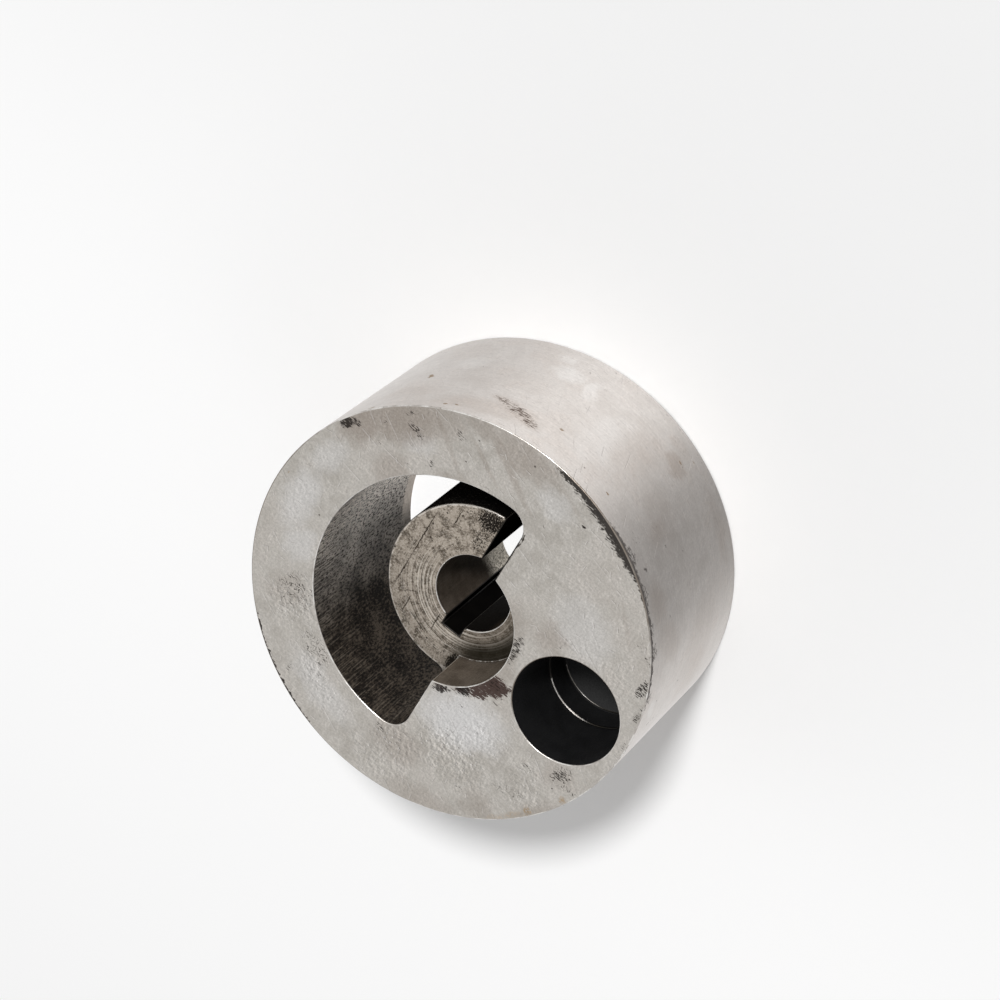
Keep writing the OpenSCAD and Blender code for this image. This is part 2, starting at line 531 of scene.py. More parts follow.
# Milled and faced steel of the two ends; the open end also has its own marks
facedValues = {
    "pale": (0.55, 0.525, 0.49), "deep": (0.43, 0.405, 0.37), "brown": (0.27, 0.225, 0.19),
    "clear": (0.64, 0.632, 0.628), "grime": (0.011, 0.007, 0.005), "smear": (0.044, 0.019, 0.014),
    "rust": (0.33, 0.23, 0.13), "speck": (0.06, 0.048, 0.04), "black": (0.03, 0.025, 0.02),
    "roughness": 0.4, "paintedRelief": (0.5, 0.4, 1.25), "cloud": 0.034, "mottle": 0.13, "grain": 1.15,
    "brownShare": 0.16, "backShift": (340.0, 210.0, 0.0), "rimEdge": 80.3, "paintedRimShade": (78.6, 79.4),
    "marks": [  # handling has left short marks every way, and faint long ones at one slant
        ({"Spacing": 4.1, "Length": 2.8, "Width": 0.4, "Angle": -0.5, "Spread": 2.2, "Share": 0.3, "Seed": 3.1},
         (0.22, 0.26, 0.0), ((0.82, 0.81, 0.8), 0.3), ((0.2, 0.17, 0.15), 0.42)),
        ({"Spacing": 8.5, "Length": 14.0, "Width": 0.46, "Angle": -0.42, "Spread": 0.6, "Share": 0.3, "Seed": 5.3},
         (0.22, 0.3, 0.0), ((0.76, 0.75, 0.74), 0.22), ((0.24, 0.22, 0.2), 0.32)),
    ],
    "specks": {"Spacing": 5.2, "Size": 0.4, "Share": 0.26, "Seed": 4.0},
    "dents": {"Spacing": 1.25, "Size": 0.3, "Share": 0.62, "Seed": 8.0},
    "dentHighlight": (0.82, 0.81, 0.8), "dentShade": (0.17, 0.145, 0.125),
    "grimeStreaks": {"Run": 1.8, "Pitch": 0.42, "Angle": -0.08, "Softness": 0.09, "Seed": 1.0},
    "smearStreaks": {"Run": 2.6, "Pitch": 0.55, "Angle": 0.05, "Softness": 0.12, "Seed": 9.0},
    "scribbleMarks": {"Spacing": 1.35, "Length": 3.4, "Width": 0.36, "Angle": -0.5, "Spread": 2.0, "Share": 0.85,
                      "Seed": 6.0},
    "clearSpots": [
        (26, -32, 22, 15, 1.1, 20), (-68, 2, 9, 18, 0.7), (44, 32, 18, 14, 0.5, -30), (-26, -60, 22, 9, 0.55, -22),
        (-40, 52, 9, 6, 0.4, 30), (-60, -14, 9, 10, 0.6), (-66, 24, 7, 12, 0.5, -20), (12, 66, 10, 7, 0.5, -10)],
    "smudges": [
        (-50, 56, 26, 13, 0.8, 42), (-62, 44, 14, 10, 0.8, 60), (-36, 66, 12, 8, 0.5, 20), (-6, 74, 22, 8, 0.55),
        (-24, 74, 9, 6, 0.5, 10), (70, -50, 13, 22, 0.55, -30), (52, -62, 20, 9, 0.4, -40), (10, -58, 16, 10, 0.42),
        (66, -24, 10, 8, 0.3), (30, -72, 22, 8, 0.4, 10), (-56, -34, 12, 9, 0.3, 60), (-44, 36, 10, 9, 0.5),
        (20, 15, 12, 12, 0.4), (27, -4, 8, 12, 0.45), (36, 21, 9, 8, 0.45), (-22, 47, 10, 8, 0.4)],
    "wipes": [
        (-8, 66, 16, 1.7, 0.9, -30), (-17, 62.5, 13, 1.3, 0.8, -32), (-1, 61, 12, 1.5, 0.7, -30),
        (-12, 70.5, 12, 1.2, 0.7, -26), (-30, 58, 12, 1.4, 0.6, -38), (18, 70, 10, 1.1, 0.5, -24),
        (-36, 63, 9, 1.2, 0.6, -34), (56, 44, 12, 1.2, 0.4, -50)],
    "strokes": [
        (-67, 40.5, 4.2, 4.2, 1, 50), (-64, 43, 4, 2, 0.8), (-44, 55.5, 7, 2.6, 0.74, -18), (-55, 51, 3, 2, 0.62),
        (-53.5, 42, 2.5, 1.5, 0.6), (-33, 48, 2.6, 3, 0.74), (-29, 65, 6, 3.2, 0.6, -20),
        (-48, 60, 5, 2.2, 0.62, 30), (-8, 54.5, 22, 1.4, 0.5), (73, 28, 3.8, 7.4, 0.82, -8),
        (76.8, 18, 2.2, 6, 0.78), (78.4, 2, 1.2, 8, 0.62), (66.2, -23.6, 3.4, 4.8, 0.76, -28),
        (69, 39, 3, 2.6, 0.66, -60), (27, 7, 4.6, 11, 0.8), (41, 15, 4, 1.8, 0.62, 20),
        (39.5, 19.4, 3, 1.4, 0.62, 35), (31, 70, 4, 2.4, 0.66), (24.5, 66.4, 1.6, 0.8, 0.9),
        (12.5, 56.5, 1.2, 0.8, 0.9), (12.5, -26, 5.8, 2.6, 0.92, 25), (19.5, -20.5, 5, 3.8, 0.98, 30),
        (28.5, -10, 5.4, 4.6, 0.68), (32.5, -16.5, 2.2, 0.7, 0.8), (22, -26.8, 2.4, 0.7, 0.7),
        (54, -30, 5, 1, 0.66, 5), (1, -57.5, 4, 2, 0.7, -10), (38, -57, 2.2, 3, 0.62, 60), (-40, -62, 2, 3.4, 0.64),
        (-28, -56, 6, 2.6, 0.56, -15)],
    "smears": [
        (28.6, -10.4, 8, 7, 1.16), (24.5, -16.5, 7, 5, 1.1, 45), (27, -13.6, 6.4, 4, 1.12, 12),
        (33, -8, 6, 2.8, 0.85), (19.5, -20, 8, 4, 0.88, 40), (11.5, -25.5, 5, 2.4, 0.78, 18)],
    "scribbles": [
        (-52, -32, 9.5, 9.5, 1.3), (66.2, -23.5, 4.2, 6, 2.6, -28), (-35, -47.5, 10, 6, 1.1, -25),
        (71, -26.6, 5, 1.6, 1.8), (53, -43.5, 9, 2.4, 0.8, 20), (64, 41.5, 3, 2, 0.6), (36.5, -3, 2.4, 6, 0.6)],
    "burrs": [(8.75, 47.2, 0.45, 2.4, 1, 8), (8.6, 43.4, 0.4, 2.2, 1, -14), (8.5, 37.5, 0.24, 4.6, 0.8)],
    "roughened": [
        (28, -47, 20, 14, 1), (8, -58, 12, 10, 0.9), (-52, -36, 14, 12, 0.8, 50), (-30, -57, 16, 7, 0.8, -25),
        (58, -38, 12, 14, 0.5), (8, -70, 20, 7, 0.6), (36, -33, 12, 10, 0.5), (60, 18, 14, 18, 0.3)],
    "rustSpots": [
        (71.4, -31.8, 2.2, 1.6, 1, -40), (63, -45.2, 1.8, 2.4, 1, 40), (59.5, -51, 5, 2, 0.5, 50),
        (55, -56.5, 5, 1.8, 0.45, 45), (-76.8, 7.5, 1, 0.7, 1, 60)],
}


def facedSteel(name, openEnd):
    values = facedValues

    def spots(key, ground, softness):
        return places(ground, values[key], softness)

    shader, where = newFinish(name, roughness=values["roughness"])
    x, y = parts(where)[:2]
    flat = point(x, y)
    own = flat if openEnd else vectorCalc("ADD", flat, values["backShift"])
    colour, cloud, mottle, grain = clouded(values, own, vectorCalc("ADD", own, (50.0, 80.0, 0.0)), level=True)
    uneven = shaken(flat, 7.0, 0.16)
    if openEnd:
        colour = layers(
            colour, values, (spots("clearSpots", uneven, 0.9), "clear", 0.75),
            (spots("smudges", uneven, 0.9), "brown", 0.8),
            (spots("wipes", shaken(flat, 1.4, 0.25), 0.95), "brown", 0.42))
    colour, darkSides = marked(colour, own, values["marks"])
    specks = useGroup(pits, {"Vector": flat, **values["specks"]})
    # Dents get painted shade, with a painted highlight a small step away, stronger where the face is roughened
    dents, dentLitSides = paintLitAndShadedSides(pits, flat, values["dents"], (0.2, 0.24, 0.0))
    wearAndShade = mulAdd(spots("roughened", uneven, 0.9), 0.9, 0.1) if openEnd else 0.1
    colour = layers(colour, values, (mul(dentLitSides, wearAndShade), "dentHighlight", 0.6), (mul(dents, wearAndShade), "dentShade", 0.62),
                    (specks, "speck", 0.8))
    dirt = specks
    if openEnd:
        # The rim and the recess have caught grime, which lies in short level strokes; along the lower rim the dark
        # line is painted shade, laid in the same strokes
        near = shaken(flat, 2.6, 0.45)
        fromAxis = vectorCalc("LENGTH", near)
        turn = calc("ARCTAN2", y, x)
        sector = mul(sweep(turn, 34, 50), sweep(turn, 83, 89, 1.0, 0.0))
        thick = mul(sweep(turn, 48, 60, 1.6, 6.6), sweep(turn, 68, 86, 1.0, 0.6))
        rimGrime = mul(ramp(div(sub(values["rimEdge"], fromAxis), thick), 0.1, 1.2, 1.22, 0.0), sector)
        # Painted shade: a dark line along the lower rim
        lowSector = mul(sweep(turn, -146, -136), sweep(turn, -112, -96, 1.0, 0.0))
        paintedRimShade = mul(ramp(fromAxis, *values["paintedRimShade"], 0.0, 1.1), lowSector)
        strokes = spots("strokes", near, 0.75)
        grime = streaked(flat, strongest([strokes, rimGrime, paintedRimShade]), values["grimeStreaks"])
        smear = streaked(flat, spots("smears", near, 0.8), values["smearStreaks"])
        scribble = mul(spots("scribbles", near, 0.7),
                       useGroup(scatter, {"Vector": near, **values["scribbleMarks"]}))
        rust = mul(spots("rustSpots", near, 0.8), ramp(grain, 0.4, 0.56))
        burrs = spots("burrs", shaken(flat, 0.7, 1.1), 0.6)
        colour = layers(colour, values, (rust, "rust", 0.8), (smear, "smear", 0.92), (grime, "grime", 0.92),
                        (larger(scribble, burrs), "black", 0.95))
        dirt = strongest([grime, smear, scribble, specks])
    colour = shadeBy(colour, grain, 0.62, 1.38)
    # Painted highlight and shade give the face a crumpled look, more where it is roughened and mottled
    patchy = add(wearAndShade, ramp(mottle, 0.48, 0.66, 0.08, 0.45))
    colour = paintedSideLight(colour, own, values["paintedRelief"], patchy)
    dress(shader, sub(mul(grain, 0.8), strongest(darkSides + [specks])), colour)
    dulled(shader, dirt, values["roughness"], cloud, 0.2)


facedSteel("facedEnd", True)
facedSteel("facedBack", False)

# Satin turned steel of the round; here a place starts with its angle in degrees and its height
roundValues = {
    "pale": (0.64, 0.602, 0.572), "deep": (0.56, 0.52, 0.488), "brown": (0.42, 0.35, 0.3),
    "clear": (0.74, 0.72, 0.7), "grime": (0.02, 0.014, 0.01), "rust": (0.21, 0.135, 0.06),
    "speck": (0.075, 0.055, 0.04), "scuff": (0.075, 0.045, 0.028),
    "roughness": 0.38, "paintedRelief": (0.34, 0.5, 0.36), "cloud": 0.03, "mottle": 0.12, "grain": 1.1,
    "brownShare": 0.22, "grimeFrom": (10.0, 30.0), "grimeTo": (86.0, 104.0), "grimeHeight": (71.6, 75.8),
    "marks": [  # short ones round it from the turning, and a few slanted ones from handling
        ({"Spacing": 2.6, "Length": 3.4, "Width": 0.26, "Angle": 0.0, "Spread": 0.9, "Share": 0.3, "Seed": 1.7},
         (0.1, 0.22, 0.0), ((0.82, 0.8, 0.78), 0.34), ((0.24, 0.2, 0.17), 0.36)),
        ({"Spacing": 8.0, "Length": 11.0, "Width": 0.34, "Angle": -0.95, "Spread": 0.9, "Share": 0.26, "Seed": 4.9},
         (0.16, 0.18, 0.0), ((0.76, 0.74, 0.72), 0.16), ((0.28, 0.25, 0.22), 0.2)),
    ],
    "specks": {"Spacing": 6.0, "Size": 0.42, "Share": 0.17, "Seed": 2.0},
    "scuffStreaks": {"Run": 2.3, "Pitch": 0.52, "Angle": 0.1, "Softness": 0.09, "Seed": 12.0},
    "grimeStreaks": {"Run": 1.7, "Pitch": 0.5, "Angle": 0.05, "Softness": 0.09, "Seed": 6.0},
    "stains": [
        (67, 18, 7, 7, 0.85, 20), (76, 34, 12, 24, 0.34), (20, 30, 16, 26, 0.3, 70), (30, 60, 14, 9, 0.4, 40),
        (-6, 70, 10, 8, 0.9), (42, 66, 12, 8, 0.5), (112, 66, 24, 8, 0.55, 4), (136, 60, 12, 9, 0.4),
        (60, 45, 14, 16, 0.28, 60), (118, 40, 26, 14, 0.2, 10), (46, 8, 20, 5, 0.35), (134, 16, 14, 12, 0.3)],
    # painted highlights on the round, laid in the clear colour
    "paintedHighlights": [
        (104, 20, 8, 7, 1, 20), (96, 24, 4, 10, 0.8), (84, 44, 9, 26, 0.5), (12, 66, 6, 4, 0.7, 30),
        (107, 10, 3, 5, 0.6), (128, 30, 7, 10, 0.4)],
    # the last stroke is a long darker line just above the back edge
    "strokes": [
        (2, 74.5, 8, 3, 0.6), (18, 73.6, 5, 4, 0.7), (31, 73.4, 6, 4.6, 0.76), (38, 74, 6, 3.2, 0.7),
        (47, 73.6, 6, 3.6, 0.74), (57, 73.4, 8, 4, 0.78), (52, 68.4, 1.3, 2.2, 0.9, -60), (36.6, 59, 1.5, 0.6, 1),
        (6, 60, 1.4, 7, 0.6, 4), (60, 66, 6, 5, 0.52), (66, 40, 2, 4, 0.5, 60), (53, 50, 1.6, 0.8, 0.8),
        (71, 8, 9, 4, 0.42), (86, 2, 60, 1.4, 0.5)],
    "scuffs": [
        (104, 60.4, 15, 6.4, 0.9, -22), (99.5, 64, 6.6, 4.4, 1, -30), (103.5, 60.4, 7.6, 4, 1.08, -20),
        (109.5, 57, 6.6, 3.4, 1, -15), (118, 70.5, 4, 1.6, 0.7), (57, 52, 5, 9, 0.62, 10), (70, 9, 8, 5, 0.6)],
    "rustSpots": [
        (135.6, 43, 1.3, 2.6, 1, 20), (92.6, 56.5, 0.9, 1, 0.9), (120.5, 71.5, 0.8, 0.8, 1),
        (117.7, 71.2, 0.8, 0.7, 1), (141, 74, 1.6, 0.8, 0.9, 30), (66.8, 14.8, 1, 0.6, 0.9),
        (64.6, 7, 0.7, 0.4, 0.9), (73, 65.8, 0.6, 0.6, 1)],
}


def turnedSteel():
    values = roundValues
    shader, where = newFinish("turnedRound", roughness=values["roughness"])
    laid = parts(useGroup(unroll, {"Vector": where, "Radius": landmarks["rim"]}))
    flat = point(laid[0], laid[1])

    def spots(key, ground, softness):
        return places(ground, [(math.radians(angle) * landmarks["rim"], *rest) for angle, *rest in values[key]],
                      softness)

    colour, cloud, mottle, grain = clouded(values, where, where)
    uneven = shaken(flat, 8.0, 0.12)
    # Brown stains, and painted highlights in the clear colour
    colour = layers(colour, values, (spots("stains", uneven, 0.9), "brown", 0.6),
                    (spots("paintedHighlights", uneven, 0.9), "clear", 0.55))
    colour, darkSides = marked(colour, flat, values["marks"])
    specks = useGroup(pits, {"Vector": where, **values["specks"]})
    near = shaken(flat, 2.4, 0.45)
    scuffPlace = spots("scuffs", near, 0.8)
    dashes = streaked(flat, mul(scuffPlace, 0.76), values["scuffStreaks"])
    # Grime has gathered along one stretch of the rim
    rimStretch = mul(ramp(laid[0], *values["grimeFrom"]), fall(laid[0], *values["grimeTo"]))
    rimGrime = mul(ramp(parts(near)[1], *values["grimeHeight"], 0.1, 1.16), rimStretch)
    grime = streaked(flat, larger(rimGrime, spots("strokes", near, 0.85)), values["grimeStreaks"])
    rust = spots("rustSpots", near, 0.6)
    colour = layers(colour, values, (specks, "speck", 0.8), (scuffPlace, "brown", 0.34), (dashes, "scuff", 0.9),
                    (grime, "grime", 0.9), (rust, "rust", 0.85))
    toolMarks = noise(point(mul(laid[0], 0.012), mul(laid[1], 1.9)), 1.0, 2.0, 0.7, level=True)
    colour = shadeBy(colour, grain, 0.76, 1.24)
    colour = shadeBy(colour, toolMarks, 0.9, 1.1)
    # Painted highlight and shade give the round a crumpled look where it is mottled
    colour = paintedSideLight(colour, flat, values["paintedRelief"], ramp(mottle, 0.44, 0.66, 0.15, 1.0))
    dress(shader, sub(mulAdd(toolMarks, 0.3, mul(grain, 0.7)), strongest(darkSides + [specks])), colour)
    dulled(shader, strongest([grime, dashes, mul(rust, 0.7)]), values["roughness"], cloud)


turnedSteel()

# Speckled, oil-darkened steel inside the window
windowValues = {
    "dark": (0.018, 0.015, 0.012), "pale": (0.95, 0.88, 0.8), "oil": (0.006, 0.0045, 0.0035),
    "haze": (0.105, 0.085, 0.066), "paintedBackLight": (0.64, 0.57, 0.5), "lineDark": (0.014, 0.011, 0.009),
    "linePale": (0.22, 0.19, 0.155), "backLightHeight": 7.6,
}


def windowSteel():
    values = windowValues
    shader, where = newFinish("windowWall", metallic=0.15, roughness=0.55)
    laid = parts(useGroup(unroll, {"Vector": where, "Radius": landmarks["window"]}))
    plain = parts(where)
    speckle = noise(point(mul(laid[0], 1.15), mul(laid[1], 0.54), 2.0), 1.0, 3.0, 0.78, level=True)
    blotch = noise(where, 0.1, 3.0, 0.6)
    drawn = noise(point(mul(laid[0], 1.7), mul(laid[1], 0.06), 2.0), 1.0, 2.0, 0.6, level=True)
    # Bright speckle away from the keyway's end of the window, brown and oily towards it
    clean = ramp(mulAdd(blotch, 24.0, plain[1]), -32.0, 16.0)
    colour = mixColour(ramp(speckle, 0.36, 0.51), values["dark"], values["pale"])
    oily = mixColour(ramp(mulAdd(speckle, 0.6, mul(blotch, 0.4)), 0.42, 0.62), values["oil"], values["haze"])
    colour = mixColour(clean, oily, colour)
    # Lines run along the axis, and a bright strip of painted light lies at the wall's foot, by the back end
    front = ramp(laid[1], 46.0, 70.0)
    foot = mulAdd(speckle, -2.4, laid[1])
    paintedBackLight = mul(fall(foot, values["backLightHeight"] - 2.4, values["backLightHeight"] - 0.6), ramp(plain[1], -34.0, -18.0))
    colour = layers(colour, values, (mul(ramp(drawn, 0.54, 0.42), front), "lineDark", 0.7),
                    (mul(ramp(drawn, 0.55, 0.66), mulAdd(front, 0.8, 0.2)), "linePale", 0.34), (paintedBackLight, "paintedBackLight", 0.92))
    shiny = mul(clean, ramp(speckle, 0.4, 0.56))
    dress(shader, mulAdd(drawn, 0.8, speckle), colour, depth=0.00012)
    feed(shader, {"Metallic": larger(mulAdd(shiny, 0.7, 0.1), mul(paintedBackLight, 0.7)), "Specular IOR Level": 0.12,
                  "Roughness": ramp(speckle, 0.35, 0.65, 0.65, 0.45)})


windowSteel()

# The hub's face and the recess's floor: pale, speckled, ringed round the bore, sooty by the slot, darker by the flat's
# corner, with painted shade on the recess's floor and a painted highlight along the hub's edge
hubValues = {
    "pale": (0.42, 0.368, 0.31), "middle": (0.19, 0.16, 0.128), "dark": (0.036, 0.028, 0.021),
    "bright": (0.72, 0.67, 0.6), "ringPale": (0.7, 0.65, 0.58), "ringDark": (0.06, 0.048, 0.036),
    "rim": (0.78, 0.73, 0.66), "recess": (0.105, 0.086, 0.064), "paintedCornerShade": (0.022, 0.019, 0.012),
    "scratch": (0.03, 0.022, 0.016), "speck": (0.03, 0.022, 0.017), "black": (0.008, 0.006, 0.004),
    "roughness": 0.42,
    "rings": {"Pitch": 0.74, "Waviness": 2.2, "Seed": 1.0},
    "specks": {"Spacing": 2.6, "Size": 0.42, "Share": 0.3, "Seed": 1.0},
    "sootStreaks": {"Run": 0.75, "Pitch": 0.55, "Angle": 1.57, "Softness": 0.14, "Seed": 4.0},
    # soot lies by the slot; the places near x 1 to 7, y -25 to -31 darken the face by the flat's corner
    "sootAndCornerDark": [
        (-8, 29.5, 9, 7.4, 1.02), (-8, 21, 5.6, 9.5, 0.76), (-17, 28, 6.5, 4.6, 0.68), (6.6, -30, 3.2, 6.5, 1.05),
        (1.5, -30.5, 4, 3, 0.62), (-24, 24, 2.5, 2.5, 0.6), (3.6, -25.4, 6, 1.6, 0.6, 20), (-6, 15.5, 4, 2.4, 0.5)],
    "scratches": [
        (-27, 8, 0.3, 14, 1), (-27, -10.5, 0.3, 10, 0.9), (-19.3, 21.8, 0.26, 5.6, 1), (-19.3, -21.8, 0.26, 5, 1),
        (-6.4, -20, 0.26, 6.4, 1), (-9.6, 23, 0.2, 9, 0.7), (-19.3, 5, 0.2, 9, 0.4, 2), (-4.2, 30, 0.2, 5, 0.8),
        (-13, -25, 5.5, 0.3, 0.7, -22), (-20, -16, 4.5, 0.26, 0.55, 30)],
}


def hubSteel():
    values = hubValues
    shader, where = newFinish("hubFace", roughness=values["roughness"])
    x, y = parts(where)[:2]
    flat = point(x, y)
    fromAxis = vectorCalc("LENGTH", flat)
    speckle = noise(flat, 1.15, 3.0, 0.85, level=True)
    blotch = noise(flat, 0.26, 4.0, 0.66, level=True)
    ring = useGroup(rings, {"Vector": flat, **values["rings"]})
    ringZone = product([ramp(fromAxis, 15.0, 16.5), ramp(mulAdd(blotch, 12.0, fromAxis), 28.0, 38.0, 1.0, 0.12),
                        ramp(y, 8.0, -12.0, 0.16, 1.0)])
    mixed = mulAdd(speckle, 0.36, mul(blotch, 0.64))
    colour = mixColour(ramp(mixed, 0.41, 0.57), values["middle"], values["pale"])
    colour = layers(
        colour, values, (ramp(mixed, 0.44, 0.36), "dark", 0.55), (ramp(speckle, 0.42, 0.33), "dark", 0.6),
        (ramp(speckle, 0.58, 0.68), "bright", 0.45), (mul(ramp(ring, 0.5, 0.6), ringZone), "ringPale", 0.8),
        (mul(ramp(ring, 0.49, 0.39), ringZone), "ringDark", 0.85))
    near = shaken(flat, 0.9, 0.7)
    sootAndCornerDark = streaked(flat, places(near, values["sootAndCornerDark"], 0.8), values["sootStreaks"])
    # The recess's floor is painted darker as shade, and darkest as painted corner shade near the recess's wall
    recessFloor = ramp(mulAdd(blotch, 8.0, x), 5.0, 16.0)
    paintedCornerShade = mul(ramp(fromAxis, 17.0, 23.5), recessFloor)
    # A painted highlight along the hub's edge, in the rim colour
    paintedRimHighlight = mul(ramp(fromAxis, 33.9, 34.4), ramp(blotch, 0.4, 0.54, 0.2, 1.0))
    scratches = places(near, values["scratches"], 0.8)
    specks = useGroup(pits, {"Vector": flat, **values["specks"]})
    colour = layers(
        colour, values, (paintedRimHighlight, "rim", 0.7), (recessFloor, "recess", 0.4), (paintedCornerShade, "paintedCornerShade", 0.9),
        (scratches, "scratch", 0.95), (specks, "speck", 0.85), (sootAndCornerDark, "black", 0.96))
    dress(shader, sub(mulAdd(ring, 0.7, mixed), larger(scratches, specks)), colour, depth=0.0001)
    dulled(shader, larger(sootAndCornerDark, mul(recessFloor, 0.5)), values["roughness"], blotch, 0.1)


hubSteel()

# The dark walls: two shades, the specks' shade and share, and any shine that differs from a plain wall's
wallValues = {
    "hubWall": {"deep": (0.022, 0.018, 0.014), "lighter": (0.06, 0.052, 0.044), "speck": (0.3, 0.28, 0.25),
                "share": 0.16, "sheen": 0.0},
    "recessWall": {"deep": (0.105, 0.084, 0.064), "lighter": (0.165, 0.136, 0.108), "speck": (0.07, 0.055, 0.04),
                   "share": 0.1, "metallic": 0.4, "roughness": 0.5},
    "boreWall": {"deep": (0.06, 0.047, 0.036), "lighter": (0.095, 0.078, 0.062), "speck": (0.32, 0.3, 0.27),
                 "share": 0.03, "sheen": 0.03},
    "pinHole": {"deep": (0.006, 0.006, 0.0064), "lighter": (0.01, 0.01, 0.0105), "speck": (0.09, 0.09, 0.09),
                "share": 0.03},
}
plainWall = {"metallic": 0.0, "roughness": 0.6, "sheen": 0.25}


# Two shades by a coarse noise, fine grain, lines along the axis and pale specks
def darkWall(name):
    values = {**plainWall, **wallValues[name]}
    shader, where = newFinish(name, values["metallic"], values["roughness"])
    coarse = noise(where, 0.12, 2.0, 0.6)
    fine = noise(where, 1.6, 3.0, 0.8)
    drawn = noise(vectorCalc("MULTIPLY", where, (1.4, 1.4, 0.06)), 1.0, 2.0, 0.7)
    colour = mixColour(ramp(coarse, 0.35, 0.65), values["deep"], values["lighter"])
    colour = shadeBy(shadeBy(colour, fine, 0.45, 1.55), drawn, 0.75, 1.25)
    dots = useGroup(pits, {"Vector": where, "Spacing": 2.0, "Size": 0.26, "Share": values["share"], "Seed": 3.0})
    colour = lay(colour, dots, values["speck"], 0.8)
    dress(shader, mulAdd(drawn, 0.6, fine), strength=0.5)
    feed(shader, {"Specular IOR Level": values["sheen"],
                  "Roughness": ramp(fine, 0.3, 0.7, values["roughness"] + 0.1, values["roughness"] - 0.1)})
    return shader, colour, parts(where), coarse, fine


# The hub's wall is oily like the window's, and painted black as shade on the slot's side and in the keyway
shader, colour, spot, coarse, fine = darkWall("hubWall")
keySides = ramp(lengthOf(spot[0], spot[1]), 22.0, 21.0)
slotSideShade = larger(keySides, ramp(mulAdd(coarse, 10.0, spot[1]), -4.0, 10.0))
pale = product([ramp(fine, 0.58, 0.66), ramp(spot[0], -4.0, -16.0), slotSideShade])
colour = lay(colour, slotSideShade, (0.0035, 0.0032, 0.003), 0.96)
feed(shader, {"Base Color": lay(colour, pale, (0.12, 0.115, 0.105), 0.5)})

shader, colour, spot, coarse, fine = darkWall("recessWall")
feed(shader, {"Base Color": colour})

# The bore is brown, painted black as shade in the keyway and beyond it, and near the back painted pale and speckled as
# light through the back end
shader, colour, spot, coarse, fine = darkWall("boreWall")
backLitEnd = mul(fall(add(spot[2], mul(coarse, 9.0)), 15.0, 24.0), ramp(spot[0], 1.0, -3.0))
backLightTone = mixColour(1.0, mixColour(ramp(fine, 0.34, 0.62), grey(0.25), grey(1.3)), (0.56, 0.52, 0.45), "MULTIPLY")
keywayShade = mul(ramp(spot[0], -4.05, -3.9), ramp(spot[1], 6.0, 2.0))
brownEdge = mul(ramp(spot[0], 11.0, 14.6), ramp(coarse, 0.38, 0.56))
colour = lay(colour, backLitEnd, backLightTone, 0.92)
colour = lay(colour, keywayShade, (0.0028, 0.0024, 0.002), 0.97)
feed(shader, {"Base Color": lay(colour, brownEdge, (0.045, 0.034, 0.022), 0.7),
              "Metallic": mulAdd(backLitEnd, 0.9, mulAdd(keywayShade, -0.05, 0.05), clamp=True)})

shader, colour, spot, coarse, fine = darkWall("pinHole")
onFloor = fall(spot[2], 33.6, 34.2)
feed(shader, {"Base Color": lay(colour, onFloor, mixColour(fine, grey(0.01), grey(0.06)), 0.9)})

# The thin broken edges shine, except inside the hub and down the pin hole, where painted shade makes them as dark as
# the walls
edgeValues = {"bright": (0.7, 0.68, 0.65), "dull": (0.44, 0.41, 0.38), "dirtAndShade": (0.14, 0.11, 0.085),
              "dark": (0.012, 0.01, 0.008), "corner": (0.075, 0.06, 0.046)}


